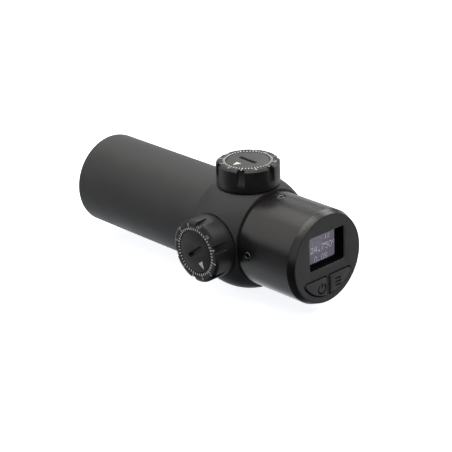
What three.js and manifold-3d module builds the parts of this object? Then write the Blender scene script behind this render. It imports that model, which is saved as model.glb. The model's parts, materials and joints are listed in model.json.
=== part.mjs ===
// Laser collimator for a 31.75 mm telescope focuser, in millimetres.
// The tube's axis is Y: the beam leaves at +Y and the display looks towards -Y.
// Z is up. The origin is where the two adjustment turrets' axes cross the tube's axis:
// the elevation turret stands on +Z and the windage turret on -X.

import * as THREE from 'three';
import { mergeVertices } from 'three/addons/utils/BufferGeometryUtils.js';
import Module from 'manifold-3d';

const wasm = await Module();
wasm.setup();

// ---------------------------------------------------------------- driving dimensions

const barrelRadius = 31.75 / 2;       // the 1.25 inch barrel that a focuser grips
const frontY = 70.9;                  // beam end of the barrel
const rearY = -35.3;                  // display end of the cap
const bulgeRadius = 19.45;            // ball round the turret axes
const capSeamY = -10.35;              // middle of the seam between ball and cap
const seamGap = 0.3;
const slipGap = 0.3;                  // clearance between pieces that slide or nest
const edgeBreak = 0.5;

const boreRadius = 12;                // main bore of the tube
const spigotRadius = 13.7;            // rear neck of the tube, inside the cap
const spigotEndY = -18;
const capBoreRadius = 14;

const seatHeight = 16.3;              // flat milled on the ball under each turret
const dialRadius = 10.5;
const dialBottom = 16.82;
const dialChamferStart = 24.0;
const dialTop = 24.65;
const dialFaceRadius = 9.65;
const dialBoreRadius = 7.3;
const dialWebBottom = 22.9;
const dialSkirtRadius = 9.0;
const discRadius = 7.14;
const notchCount = 6;
const notchWidth = 2.5;
const notchBottom = 19.4;
const notchDepth = 1.25;
const notchPhase = 30;                // degrees, a notch sits beside a numbered tick
const elevationDialTurn = 3;          // degrees, about each turret's own axis
const elevationDiscTurn = -3;
const windageDialTurn = 19;
const windageDiscTurn = 36;
const coinSlotLength = 7.9;
const coinSlotWidth = 1.3;
const coinSlotDepth = 1.0;

const bushingNeckRadius = dialSkirtRadius - slipGap;
const bushingShankRadius = 5.8;
const bushingBottom = 12.7;
const bushingTop = dialWebBottom - slipGap;
const shaftRadius = 2.6;
const screwTipRadius = 1.5;
const plungerRadius = 3.1;
const plungerTop = 15.8;

const aimingTubeRadius = 9;
const aimingTubeBore = 7.6;
const aimingTubeRearY = -6;
const aimingTubeFrontY = 61.5;
const pivotY = 60;                    // the aiming tube tilts about this point

const facePlateRadius = 14.6;
const facePlateThickness = 4.4;
const capBevelRadial = 0.98;
const capBevelAxial = 2.4;
const windowWidth = 15.7;
const windowHeight = 11.5;
const windowCentreZ = 3.3;
const windowCornerRadius = 0.8;

const buttonTopZ = -6.1;
const buttonArcRadius = 12.4;
const buttonInnerX = 0.8;
const buttonProud = 0.4;
const buttonGap = 0.25;
const buttonSmallCorner = 0.4;
const buttonOuterCorner = 0.7;
const switchX = 5.2;
const switchZ = -9.3;

const setScrewY = -14.8;
const setScrewHoleRadius = 1.6;

const segmentsLarge = 48;             // facets round the tube and the cap
const segmentsMedium = 36;            // round the turrets
const segmentsInner = 24;             // round the pieces inside the tube and the cap
const segmentsSmall = 16;             // round pins, screws and lenses
const segmentsWire = 6;               // round a seal's or a wire's section
const overcut = 1;                    // how far a cutter runs past the face it opens

// ---------------------------------------------------------------- colours

const finishes = {
  blastedBlack: { color: 0x2a2a2c, roughness: 0.62, metalness: 0.35 },
  turnedBlack: { color: 0x252424, roughness: 0.4, metalness: 0.55 },
  matteBlack: { color: 0x1d1d1f, roughness: 0.75, metalness: 0.1 },
  blackPlastic: { color: 0x1b1b1d, roughness: 0.55, metalness: 0 },
  blackSteel: { color: 0x1a1613, roughness: 0.45, metalness: 0.8 },
  brass: { color: 0xb48a43, roughness: 0.35, metalness: 0.9 },
  steel: { color: 0xa9abae, roughness: 0.35, metalness: 0.9 },
  glass: { color: 0xdfe8ee, roughness: 0.05, metalness: 0, transparent: true, opacity: 0.35 },
  coatedGlass: { color: 0x8f7fc4, roughness: 0.05, metalness: 0, transparent: true, opacity: 0.5 },
  display: { color: 0x2b2a38, roughness: 0.2, metalness: 0 },
  board: { color: 0x12502e, roughness: 0.5, metalness: 0 },
  rubber: { color: 0x101010, roughness: 0.9, metalness: 0 },
  redWire: { color: 0x9c1f1b, roughness: 0.6, metalness: 0 },
  blackWire: { color: 0x161616, roughness: 0.6, metalness: 0 },
};

// ---------------------------------------------------------------- geometry helpers

const radians = (degrees) => degrees * Math.PI / 180;

function signedVolume(positions, triangles) {
  const a = new THREE.Vector3();
  const b = new THREE.Vector3();
  const c = new THREE.Vector3();
  let volume = 0;
  for (let i = 0; i < triangles.length; i += 3) {
    a.fromArray(positions, triangles[i] * 3);
    b.fromArray(positions, triangles[i + 1] * 3);
    c.fromArray(positions, triangles[i + 2] * 3);
    volume += a.dot(b.cross(c)) / 6;
  }
  return volume;
}

// One closed surface: shared vertices, no triangle without area, all faces pointing out.
function closed(geometry) {
  const bare = geometry.clone();
  bare.deleteAttribute('normal');
  bare.deleteAttribute('uv');
  const merged = mergeVertices(bare, 1e-5);
  const index = merged.index.array;
  const kept = [];
  for (let i = 0; i < index.length; i += 3) {
    const [a, b, c] = [index[i], index[i + 1], index[i + 2]];
    if (a !== b && b !== c && c !== a) kept.push(a, b, c);
  }
  if (signedVolume(merged.attributes.position.array, kept) < 0) {
    for (let i = 0; i < kept.length; i += 3) {
      [kept[i + 1], kept[i + 2]] = [kept[i + 2], kept[i + 1]];
    }
  }
  merged.setIndex(kept);
  return merged;
}

function toManifold(geometry) {
  const shape = closed(geometry);
  return new wasm.Manifold(new wasm.Mesh({
    numProp: 3,
    vertProperties: new Float32Array(shape.attributes.position.array),
    triVerts: new Uint32Array(shape.index.array),
  }));
}

function fromManifold(manifold) {
  const { vertProperties, triVerts } = manifold.getMesh();
  const geometry = new THREE.BufferGeometry();
  geometry.setAttribute('position', new THREE.BufferAttribute(vertProperties, 3));
  geometry.setIndex(Array.from(triVerts));
  return geometry;
}

function cut(geometry, cutters) {
  let solid = toManifold(geometry);
  for (const cutter of cutters) solid = solid.subtract(toManifold(cutter));
  return fromManifold(solid);
}

// A body of revolution about Y. The profile lists [radius, y] corners. It closes on itself,
// or runs from the axis back to the axis.
function turnedAboutY(profile, segments) {
  const points = profile.map(([radius, y]) => new THREE.Vector2(radius, y));
  const endsOnAxis = profile[0][0] === 0 && profile[profile.length - 1][0] === 0;
  if (!endsOnAxis) points.push(points[0].clone());
  return closed(new THREE.LatheGeometry(points, segments));
}

// The same about Z, with [radius, z] corners.
function turnedAboutZ(profile, segments) {
  return turnedAboutY(profile, segments).rotateX(Math.PI / 2);
}

// A ring of round section about Y.
function seal(centreRadius, wireRadius, y) {
  return closed(new THREE.TorusGeometry(centreRadius, wireRadius, segmentsWire, segmentsInner))
    .rotateX(Math.PI / 2)
    .translate(0, y, 0);
}

// A flat shape drawn in X and Z, filling the space between two values of y.
function plateAlongY(shape, yStart, yEnd, curveSegments = 8) {
  return new THREE.ExtrudeGeometry(shape, {
    depth: Math.abs(yEnd - yStart),
    bevelEnabled: false,
    curveSegments,
  })
    .rotateX(Math.PI / 2)
    .translate(0, Math.max(yStart, yEnd), 0);
}

function discAlongY(radius, yStart, yEnd, segments = segmentsSmall) {
  const length = Math.abs(yEnd - yStart);
  return new THREE.CylinderGeometry(radius, radius, length, segments)
    .translate(0, (yStart + yEnd) / 2, 0);
}

function pinAlongZ(radius, zStart, zEnd, segments = segmentsSmall) {
  return discAlongY(radius, zStart, zEnd, segments).rotateX(Math.PI / 2);
}

function block(centre, size) {
  return new THREE.BoxGeometry(...size).translate(...centre);
}

function roundedRectangle(width, height, centreZ, radius) {
  const [left, right] = [-width / 2, width / 2];
  const [low, high] = [centreZ - height / 2, centreZ + height / 2];
  const shape = new THREE.Shape();
  shape.moveTo(left + radius, low);
  shape.lineTo(right - radius, low);
  shape.absarc(right - radius, low + radius, radius, -Math.PI / 2, 0);
  shape.lineTo(right, high - radius);
  shape.absarc(right - radius, high - radius, radius, 0, Math.PI / 2);
  shape.lineTo(left + radius, high);
  shape.absarc(left + radius, high - radius, radius, Math.PI / 2, Math.PI);
  shape.lineTo(left, low + radius);
  shape.absarc(left + radius, low + radius, radius, Math.PI, 1.5 * Math.PI);
  return shape;
}

// A button's outline: a flat top, a straight inner side and a round outer side that runs
// with the cap's rim. side is 1 for the button on +X and -1 for the one on -X.
function buttonOutline(side, grow) {
  const top = buttonTopZ + grow;
  const inner = buttonInnerX - grow;
  const rim = buttonArcRadius + grow;
  const smallCorner = buttonSmallCorner + grow / 2;
  const outerCorner = buttonOuterCorner + grow;
  const outerX = Math.sqrt((rim - outerCorner) ** 2 - (top - outerCorner) ** 2);
  const outerAngle = Math.atan2(top - outerCorner, outerX);
  const lowX = inner + smallCorner;
  const lowZ = -Math.sqrt((rim - smallCorner) ** 2 - lowX ** 2);
  const lowAngle = Math.atan2(lowZ, lowX);
  const path = new THREE.Path();
  path.absarc(inner + smallCorner, top - smallCorner, smallCorner, Math.PI, Math.PI / 2, true);
  path.absarc(outerX, top - outerCorner, outerCorner, Math.PI / 2, outerAngle, true);
  path.absarc(0, 0, rim, outerAngle, lowAngle, true);
  path.absarc(lowX, lowZ, smallCorner, lowAngle, -Math.PI, true);
  const corners = path.getPoints(4).map((point) => new THREE.Vector2(side * point.x, point.y));
  return new THREE.Shape(corners);
}

const model = new THREE.Group();

function addPiece(name, geometry, finish, parent = model) {
  const piece = new THREE.Mesh(geometry, new THREE.MeshStandardMaterial(finish));
  piece.name = name;
  parent.add(piece);
  return piece;
}

// ---------------------------------------------------------------- tube and its front end

const shoulderY = Math.sqrt(bulgeRadius ** 2 - barrelRadius ** 2);
const ballEndY = capSeamY + seamGap / 2;
const windowSeatY = 65;
const frontBoreRadius = 13.3;
const pivotStopY = 63;
const pivotStopRadius = 10.6;
const sealGrooveY = [-13.0, -11.6];
const sealGrooveRadius = 12.7;

function ballProfile(steps) {
  const corners = [];
  for (let i = 0; i <= steps; i += 1) {
    const y = shoulderY + (ballEndY - shoulderY) * i / steps;
    corners.push([Math.sqrt(bulgeRadius ** 2 - y ** 2), y]);
  }
  return corners;
}

function turretBores(radius, innerEnd) {
  const up = pinAlongZ(radius, innerEnd, bulgeRadius + overcut, segmentsInner);
  const side = pinAlongZ(radius, innerEnd, bulgeRadius + overcut, segmentsInner).rotateY(-Math.PI / 2);
  return [up, side];
}

function setScrewHoles(innerEnd) {
  return [0, 90, 180, 270].map((turn) => (
    pinAlongZ(setScrewHoleRadius, innerEnd, barrelRadius + overcut)
      .rotateY(radians(turn))
      .translate(0, setScrewY, 0)
  ));
}

function buildMainTube() {
  const outside = turnedAboutY([
    [frontBoreRadius, frontY],
    [barrelRadius - edgeBreak, frontY],
    [barrelRadius, frontY - edgeBreak],
    ...ballProfile(8),
    [spigotRadius, ballEndY],
    [spigotRadius, sealGrooveY[1]],
    [sealGrooveRadius, sealGrooveY[1]],
    [sealGrooveRadius, sealGrooveY[0]],
    [spigotRadius, sealGrooveY[0]],
    [spigotRadius, spigotEndY],
    [boreRadius, spigotEndY],
    [boreRadius, pivotStopY],
    [pivotStopRadius, pivotStopY],
    [pivotStopRadius, windowSeatY],
    [frontBoreRadius, windowSeatY],
  ], segmentsLarge);
  const slabSize = 2 * bulgeRadius + overcut;
  const aboveSeat = block([0, 0, seatHeight + slabSize / 2], [slabSize, slabSize, slabSize]);
  const besideSeat = block([-seatHeight - slabSize / 2, 0, 0], [slabSize, slabSize, slabSize]);
  return cut(outside, [
    aboveSeat,
    besideSeat,
    ...turretBores(bushingShankRadius + slipGap / 2, boreRadius - overcut),
    ...setScrewHoles(boreRadius - overcut),
  ]);
}

addPiece('main_tube', buildMainTube(), finishes.blastedBlack);

const frontSealRadius = 0.5;
const frontGlassY = [66.4, 68.0];
const frontRingY = [68.2, 69.7];
const frontRingBore = 11;

function buildFrontSeal() {
  return seal(frontBoreRadius - 1, frontSealRadius, windowSeatY + 0.2 + frontSealRadius);
}

function buildFrontWindow() {
  return discAlongY(frontBoreRadius - slipGap, ...frontGlassY, segmentsInner);
}

addPiece('front_o_ring', buildFrontSeal(), finishes.rubber);
addPiece('front_window', buildFrontWindow(), finishes.coatedGlass);

function buildFrontRing() {
  const outer = frontBoreRadius - slipGap;
  const ring = turnedAboutY([
    [frontRingBore, frontRingY[0]],
    [outer, frontRingY[0]],
    [outer, frontRingY[1]],
    [frontRingBore, frontRingY[1]],
  ], segmentsMedium);
  const slotDepth = 0.8;
  const slotWidth = 1.5;
  const spannerSlot = block([0, frontRingY[1], 0], [2 * outer + overcut, 2 * slotDepth, slotWidth]);
  return cut(ring, [spannerSlot]);
}

addPiece('front_retaining_ring', buildFrontRing(), finishes.matteBlack);

// ---------------------------------------------------------------- rear cap and its face

const capFrontY = capSeamY - seamGap / 2;
const facePlateBackY = rearY + facePlateThickness;
const plateSeatRadius = facePlateRadius + slipGap / 2;
const plateSeatY = facePlateBackY + 0.1;
const capEdgeBreak = 0.25;

function buildRearCap() {
  const shell = turnedAboutY([
    [capBoreRadius, capFrontY],
    [barrelRadius - capEdgeBreak, capFrontY],
    [barrelRadius, capFrontY - capEdgeBreak],
    [barrelRadius, rearY + capBevelAxial],
    [barrelRadius - capBevelRadial, rearY],
    [plateSeatRadius, rearY],
    [plateSeatRadius, plateSeatY],
    [capBoreRadius, plateSeatY],
  ], segmentsLarge);
  return cut(shell, setScrewHoles(capBoreRadius - overcut));
}

function buildFacePlate() {
  const plate = discAlongY(facePlateRadius, rearY, facePlateBackY, segmentsLarge);
  const opening = roundedRectangle(windowWidth, windowHeight, windowCentreZ, windowCornerRadius);
  const through = [rearY - overcut, facePlateBackY + overcut];
  return cut(plate, [
    plateAlongY(opening, ...through, 4),
    plateAlongY(buttonOutline(-1, buttonGap), ...through),
    plateAlongY(buttonOutline(1, buttonGap), ...through),
  ]);
}

addPiece('rear_cap', buildRearCap(), finishes.turnedBlack);
addPiece('face_plate', buildFacePlate(), finishes.matteBlack);
addPiece('cap_o_ring', seal(13.35, 0.5, (sealGrooveY[0] + sealGrooveY[1]) / 2), finishes.rubber);

const setScrewRadius = setScrewHoleRadius - 0.15;
const setScrewSpan = [12.4, 15.55];   // from the tube's axis
const hexAcrossCorners = 1.73;
const hexDepth = 1.3;

function buildSetScrew() {
  const body = pinAlongZ(setScrewRadius, ...setScrewSpan);
  const socket = pinAlongZ(hexAcrossCorners / 2, setScrewSpan[1] - hexDepth, setScrewSpan[1] + overcut, 6);
  return cut(body, [socket]);
}

const setScrewNames = {
  set_screw_top: 0,
  set_screw_right: 90,
  set_screw_bottom: 180,
  set_screw_left: 270,
};
for (const [name, turn] of Object.entries(setScrewNames)) {
  const geometry = buildSetScrew().rotateY(radians(turn)).translate(0, setScrewY, 0);
  addPiece(name, geometry, finishes.blackSteel);
}

// ---------------------------------------------------------------- display and buttons

const glassMargin = 0.85;             // how far the window reaches under the face plate
const displayWindowY = [facePlateBackY + 0.1, facePlateBackY + 0.9];
const displayPanelY = [facePlateBackY + 1.1, facePlateBackY + 2.5];
const displayPanelWidth = 18;
const displayPanelZ = [-5.4, 10.2];
const displayBoardY = [facePlateBackY + 2.7, facePlateBackY + 3.7];
const boardRadius = 13.6;

function buildDisplayWindow() {
  const width = windowWidth + 2 * glassMargin;
  const height = windowHeight + 2 * glassMargin;
  const outline = roundedRectangle(width, height, windowCentreZ, windowCornerRadius);
  return plateAlongY(outline, ...displayWindowY, 3);
}

function buildDisplayPanel() {
  const centreY = (displayPanelY[0] + displayPanelY[1]) / 2;
  const centreZ = (displayPanelZ[0] + displayPanelZ[1]) / 2;
  const thickness = displayPanelY[1] - displayPanelY[0];
  const height = displayPanelZ[1] - displayPanelZ[0];
  return block([0, centreY, centreZ], [displayPanelWidth, thickness, height]);
}

addPiece('display_window', buildDisplayWindow(), finishes.glass);
addPiece('display_panel', buildDisplayPanel(), finishes.display);
addPiece('display_board', discAlongY(boardRadius, ...displayBoardY, segmentsInner), finishes.board);

const flangeGrow = 0.6;
const flangeY = [facePlateBackY + 0.1, facePlateBackY + 0.7];
const switchSize = [3.5, 3.0];
const switchY = [facePlateBackY + 1.34, displayBoardY[0] - 0.1];
const switchPlungerY = [flangeY[1] + 0.1, flangeY[1] + 1.04];
const switchPlungerRadius = 0.7;
const switchPocketFloorY = switchY[1] - 0.3;

function buildButton(side) {
  const key = plateAlongY(buttonOutline(side, 0), rearY - buttonProud, flangeY[0] + 0.1);
  const flange = plateAlongY(buttonOutline(side, flangeGrow), ...flangeY);
  return fromManifold(toManifold(key).add(toManifold(flange)));
}

function buildSwitch(side) {
  const centreY = (switchY[0] + switchY[1]) / 2;
  const thickness = switchY[1] - switchY[0];
  const body = block([side * switchX, centreY, switchZ], [switchSize[0], thickness, switchSize[1]]);
  const pocket = discAlongY(switchPlungerRadius + 0.2, switchY[0] - overcut, switchPocketFloorY)
    .translate(side * switchX, 0, switchZ);
  return cut(body, [pocket]);
}

function buildSwitchPlunger(side) {
  return discAlongY(switchPlungerRadius, ...switchPlungerY).translate(side * switchX, 0, switchZ);
}

for (const [name, side] of [['power', -1], ['mode', 1]]) {
  addPiece(`${name}_button`, buildButton(side), finishes.matteBlack);
  addPiece(`${name}_switch`, buildSwitch(side), finishes.blackPlastic);
  addPiece(`${name}_switch_plunger`, buildSwitchPlunger(side), finishes.steel);
}

// ---------------------------------------------------------------- battery and driver board

const carrierY = [displayBoardY[1] + 0.2, facePlateBackY + 11.04];
const carrierWall = 1;
const carrierFloor = 0.8;
const cellRadius = 24.5 / 2;
const cellThickness = 5;
const cellY = carrierY[0] + carrierFloor + 0.2;
const driverBoardY = [carrierY[1] + 0.2, carrierY[1] + 1.2];

addPiece('battery_carrier', turnedAboutY([
  [0, carrierY[0]],
  [boardRadius, carrierY[0]],
  [boardRadius, carrierY[1]],
  [boardRadius - carrierWall, carrierY[1]],
  [boardRadius - carrierWall, carrierY[0] + carrierFloor],
  [0, carrierY[0] + carrierFloor],
], segmentsInner), finishes.blackPlastic);

addPiece('battery_cell', turnedAboutY([
  [0, cellY],
  [cellRadius - 2.2, cellY],
  [cellRadius - 2.0, cellY + 0.6],
  [cellRadius, cellY + 0.8],
  [cellRadius, cellY + cellThickness],
  [0, cellY + cellThickness],
], segmentsInner), finishes.steel);

// A bent strip of spring steel between the cell and the driver board.
function buildBatteryContact() {
  const low = cellY + cellThickness + 0.1;
  const strip = 0.2;
  const rise = driverBoardY[0] - 0.1 - strip - low;
  const halfLength = 6;
  const reach = 2;
  const shape = new THREE.Shape([
    new THREE.Vector2(-halfLength, rise),
    new THREE.Vector2(-reach, 0),
    new THREE.Vector2(reach, 0),
    new THREE.Vector2(halfLength, rise),
    new THREE.Vector2(halfLength, rise + strip),
    new THREE.Vector2(reach, strip),
    new THREE.Vector2(-reach, strip),
    new THREE.Vector2(-halfLength, rise + strip),
  ]);
  const width = 4;
  return new THREE.ExtrudeGeometry(shape, { depth: width, bevelEnabled: false })
    .translate(0, low, -width / 2);
}

const chipSize = [5, 0.9, 5];
const chipZ = 6;
const plugSize = [4, 2, 3];
const plugZ = -2;
const componentY = driverBoardY[1] + 0.1;
const plugEndY = componentY + plugSize[1];

addPiece('battery_contact', buildBatteryContact(), finishes.steel);
addPiece('driver_board', discAlongY(boardRadius, ...driverBoardY, segmentsInner), finishes.board);

function onDriverBoard(size, z) {
  return block([0, componentY + size[1] / 2, z], size);
}

addPiece('controller_chip', onDriverBoard(chipSize, chipZ), finishes.blackPlastic);
addPiece('laser_connector', onDriverBoard(plugSize, plugZ), finishes.blackPlastic);

// ---------------------------------------------------------------- aiming tube and laser

const pivotHalfWidth = 2.5;

// The pivot ring's outside is a band of a sphere about the pivot point.
function buildPivotRing() {
  const outer = boreRadius - slipGap;
  const steps = 4;
  const profile = [[aimingTubeRadius + slipGap, pivotY - pivotHalfWidth]];
  for (let i = 0; i <= steps; i += 1) {
    const offset = pivotHalfWidth * (2 * i / steps - 1);
    profile.push([Math.sqrt(outer ** 2 - offset ** 2), pivotY + offset]);
  }
  profile.push([aimingTubeRadius + slipGap, pivotY + pivotHalfWidth]);
  return turnedAboutY(profile, segmentsInner);
}

function tubeAlongY(outer, inner, yStart, yEnd, segments) {
  return turnedAboutY([[inner, yStart], [outer, yStart], [outer, yEnd], [inner, yEnd]], segments);
}

const aimingTubeSize = [aimingTubeRadius, aimingTubeBore, aimingTubeRearY, aimingTubeFrontY];
const retainerSize = [boreRadius - slipGap, aimingTubeRadius + 1, 54, 56.8];

addPiece('pivot_ring', buildPivotRing(), finishes.blackPlastic);
addPiece('pivot_retainer', tubeAlongY(...retainerSize, segmentsInner), finishes.matteBlack);
addPiece('aiming_tube', tubeAlongY(...aimingTubeSize, segmentsInner), finishes.matteBlack);

const housingY = [22, 46];
const diodeSeatY = 30;
const lensSeatY = 36;
const diodeRadius = 2.8;
const diodeCanRadius = 2.1;
const lensRadius = 3.9;
const lensPocketRadius = lensRadius + slipGap;

addPiece('laser_housing', turnedAboutY([
  [diodeRadius + slipGap, housingY[0]],
  [aimingTubeBore - slipGap, housingY[0]],
  [aimingTubeBore - slipGap, housingY[1]],
  [lensPocketRadius, housingY[1]],
  [lensPocketRadius, lensSeatY],
  [diodeCanRadius + slipGap, lensSeatY],
  [diodeCanRadius + slipGap, diodeSeatY],
  [diodeRadius + slipGap, diodeSeatY],
], segmentsInner), finishes.brass);

const diodeFlangeY = [diodeSeatY - 1.5, diodeSeatY - 0.3];
addPiece('laser_diode', turnedAboutY([
  [0, diodeFlangeY[0]],
  [diodeRadius, diodeFlangeY[0]],
  [diodeRadius, diodeFlangeY[1]],
  [diodeCanRadius, diodeFlangeY[1]],
  [diodeCanRadius, diodeFlangeY[1] + 2.3],
  [0, diodeFlangeY[1] + 2.3],
], segmentsSmall), finishes.steel);

// A lens with a flat rear face and a domed front.
function buildLens() {
  const rimY = lensSeatY + 1.5;
  const sag = 1.4;
  const steps = 4;
  const profile = [[0, lensSeatY + 0.3], [lensRadius, lensSeatY + 0.3]];
  for (let i = 0; i <= steps; i += 1) {
    const radius = lensRadius * (1 - i / steps);
    profile.push([radius, rimY + sag * (1 - (radius / lensRadius) ** 2)]);
  }
  return turnedAboutY(profile, segmentsSmall);
}

addPiece('collimating_lens', buildLens(), finishes.glass);
const lensRingSize = [lensRadius, 2.8, lensSeatY + 4, lensSeatY + 6.5];
addPiece('lens_retainer', tubeAlongY(...lensRingSize, segmentsSmall), finishes.brass);

// The leads run from the driver board's connector to the diode's base, with a little slack.
function buildLead(side) {
  const wireRadius = 0.35;
  const spread = 1.0;
  const startY = plugEndY + slipGap;
  const endY = diodeFlangeY[0] - slipGap;
  const route = new THREE.CatmullRomCurve3([
    new THREE.Vector3(side * spread, startY, plugZ),
    new THREE.Vector3(side * spread, startY + 3, plugZ),
    new THREE.Vector3(side * (spread + 1), startY + 12, -3.2),
    new THREE.Vector3(side * (spread + 0.6), startY + 24, -0.8),
    new THREE.Vector3(side * spread, endY - 4, 0),
    new THREE.Vector3(side * spread, endY, 0),
  ]);
  const section = new THREE.Shape();
  section.absarc(0, 0, wireRadius, 0, 2 * Math.PI);
  return new THREE.ExtrudeGeometry(section, {
    steps: 16,
    extrudePath: route,
    curveSegments: segmentsWire / 2,
  });
}

addPiece('laser_lead_positive', buildLead(1), finishes.redWire);
addPiece('laser_lead_negative', buildLead(-1), finishes.blackWire);

// A bowed leaf spring opposite both turrets keeps the aiming tube against the plungers.
function buildReturnSpring() {
  const thickness = 0.3;
  const width = 5;
  const midY = 3;
  const halfLength = 12;
  const crownRadius = 9.95;
  const endRadius = 11.3;
  const steps = 6;
  const arch = (t) => crownRadius + (endRadius - crownRadius) * t * t;
  const near = [];
  const far = [];
  for (let i = 0; i <= steps; i += 1) {
    const t = 2 * i / steps - 1;
    near.push(new THREE.Vector2(arch(t), midY + t * halfLength));
    far.unshift(new THREE.Vector2(arch(t) + thickness, midY + t * halfLength));
  }
  const side = new THREE.Shape([...near, ...far]);
  return new THREE.ExtrudeGeometry(side, { depth: width, bevelEnabled: false })
    .translate(0, 0, -width / 2)
    .rotateY(radians(45));
}

addPiece('return_spring', buildReturnSpring(), finishes.steel);

// ---------------------------------------------------------------- turrets, each about +Z

function buildDial() {
  const body = turnedAboutZ([
    [dialSkirtRadius, dialBottom],
    [dialRadius, dialBottom],
    [dialRadius, dialChamferStart],
    [dialFaceRadius, dialTop],
    [dialBoreRadius, dialTop],
    [dialBoreRadius, dialWebBottom],
    [dialSkirtRadius, dialWebBottom],
  ], segmentsMedium);
  const slope = notchDepth / (dialTop - notchBottom);
  const outside = dialRadius + overcut;
  const notchSide = new THREE.Shape([
    new THREE.Vector2(outside, notchBottom - overcut),
    new THREE.Vector2(dialRadius + slope * overcut, notchBottom - overcut),
    new THREE.Vector2(dialRadius - notchDepth - slope * overcut, dialTop + overcut),
    new THREE.Vector2(outside, dialTop + overcut),
  ]);
  const notches = [];
  for (let i = 0; i < notchCount; i += 1) {
    notches.push(new THREE.ExtrudeGeometry(notchSide, { depth: notchWidth, bevelEnabled: false })
      .translate(0, 0, -notchWidth / 2)
      .rotateX(Math.PI / 2)
      .rotateZ(radians(notchPhase + 360 * i / notchCount)));
  }
  return cut(body, notches);
}

const screwShoulder = 17.2;
const screwTip = 12.6;

// The slotted disc and its screw are one piece. The slot runs along Y.
function buildAdjuster() {
  const body = turnedAboutZ([
    [0, screwTip],
    [screwTipRadius, screwTip],
    [screwTipRadius, screwShoulder],
    [shaftRadius, screwShoulder],
    [shaftRadius, dialWebBottom],
    [discRadius, dialWebBottom],
    [discRadius, dialTop - 0.15],
    [discRadius - 0.15, dialTop],
    [0, dialTop],
  ], segmentsMedium);
  const half = coinSlotLength / 2 - coinSlotWidth / 2;
  const outline = new THREE.Shape();
  outline.absarc(0, half, coinSlotWidth / 2, 0, Math.PI);
  outline.absarc(0, -half, coinSlotWidth / 2, Math.PI, 2 * Math.PI);
  const slot = new THREE.ExtrudeGeometry(outline, {
    depth: coinSlotDepth + overcut,
    bevelEnabled: false,
    curveSegments: 6,
  }).translate(0, 0, dialTop - coinSlotDepth);
  return cut(body, [slot]);
}

const grooveZ = [20.4, 22.0];
const grooveRadius = 4.2;
const detentZ = 19.3;
const detentHoleRadius = 0.95;
const detentHoleDepthRadius = 5.3;

function alongX(geometry) {
  return geometry.rotateY(Math.PI / 2).translate(0, 0, detentZ);
}

// The bushing is screwed into the tube. It guides the plunger below and the screw above.
function buildBushing() {
  const body = turnedAboutZ([
    [plungerRadius + slipGap, bushingBottom],
    [bushingShankRadius, bushingBottom],
    [bushingShankRadius, seatHeight + 0.1],
    [bushingNeckRadius, seatHeight + 0.1],
    [bushingNeckRadius, bushingTop],
    [shaftRadius + slipGap, bushingTop],
    [shaftRadius + slipGap, grooveZ[1]],
    [grooveRadius, grooveZ[1]],
    [grooveRadius, grooveZ[0]],
    [shaftRadius + slipGap, grooveZ[0]],
    [shaftRadius + slipGap, screwShoulder],
    [plungerRadius + slipGap, screwShoulder],
  ], segmentsInner);
  const pocket = alongX(pinAlongZ(detentHoleRadius, detentHoleDepthRadius, bushingNeckRadius + overcut));
  return cut(body, [pocket]);
}

function buildPlunger() {
  const bottom = aimingTubeRadius + 0.35;
  const boreBottom = 11.5;
  return turnedAboutZ([
    [0, bottom],
    [plungerRadius, bottom],
    [plungerRadius, plungerTop],
    [screwTipRadius + slipGap, plungerTop],
    [screwTipRadius + slipGap, boreBottom],
    [0, boreBottom],
  ], segmentsSmall);
}

function buildTurretSeal() {
  return closed(new THREE.TorusGeometry(3.4, 0.6, segmentsWire, segmentsSmall))
    .translate(0, 0, (grooveZ[0] + grooveZ[1]) / 2);
}

const ballRadius = 0.75;
const ballCentreRadius = 8.0;

function buildDetentBall() {
  return alongX(new THREE.SphereGeometry(ballRadius, 10, 6).translate(0, 0, ballCentreRadius));
}

function buildDetentSpring() {
  const coilRadius = 0.55;
  const wireRadius = 0.12;
  const turns = 3;
  const start = detentHoleDepthRadius + 0.25;
  const length = ballCentreRadius - ballRadius - 0.25 - start;
  const stepsPerTurn = 8;
  const points = [];
  for (let i = 0; i <= turns * stepsPerTurn; i += 1) {
    const angle = 2 * Math.PI * i / stepsPerTurn;
    const along = start + length * i / (turns * stepsPerTurn);
    points.push(new THREE.Vector3(coilRadius * Math.cos(angle), coilRadius * Math.sin(angle), along));
  }
  const section = new THREE.Shape();
  section.absarc(0, 0, wireRadius, 0, 2 * Math.PI);
  return alongX(new THREE.ExtrudeGeometry(section, {
    steps: turns * stepsPerTurn,
    extrudePath: new THREE.CatmullRomCurve3(points),
    curveSegments: segmentsWire / 2,
  }));
}

function addTurret(name, dialTurn, discTurn) {
  const turret = new THREE.Group();
  addPiece(`${name}_dial`, buildDial().rotateZ(radians(dialTurn)), finishes.turnedBlack, turret);
  addPiece(`${name}_adjuster`, buildAdjuster().rotateZ(radians(discTurn)), finishes.turnedBlack, turret);
  addPiece(`${name}_bushing`, buildBushing(), finishes.brass, turret);
  addPiece(`${name}_plunger`, buildPlunger(), finishes.steel, turret);
  addPiece(`${name}_o_ring`, buildTurretSeal(), finishes.rubber, turret);
  addPiece(`${name}_detent_ball`, buildDetentBall(), finishes.steel, turret);
  addPiece(`${name}_detent_spring`, buildDetentSpring(), finishes.steel, turret);
  model.add(turret);
  return turret;
}

addTurret('elevation', elevationDialTurn, elevationDiscTurn);
addTurret('windage', windageDialTurn, windageDiscTurn).rotation.y = -Math.PI / 2;

export default model;
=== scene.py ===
import json
import math

import bmesh
import bpy
from mathutils import Matrix, Vector


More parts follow.
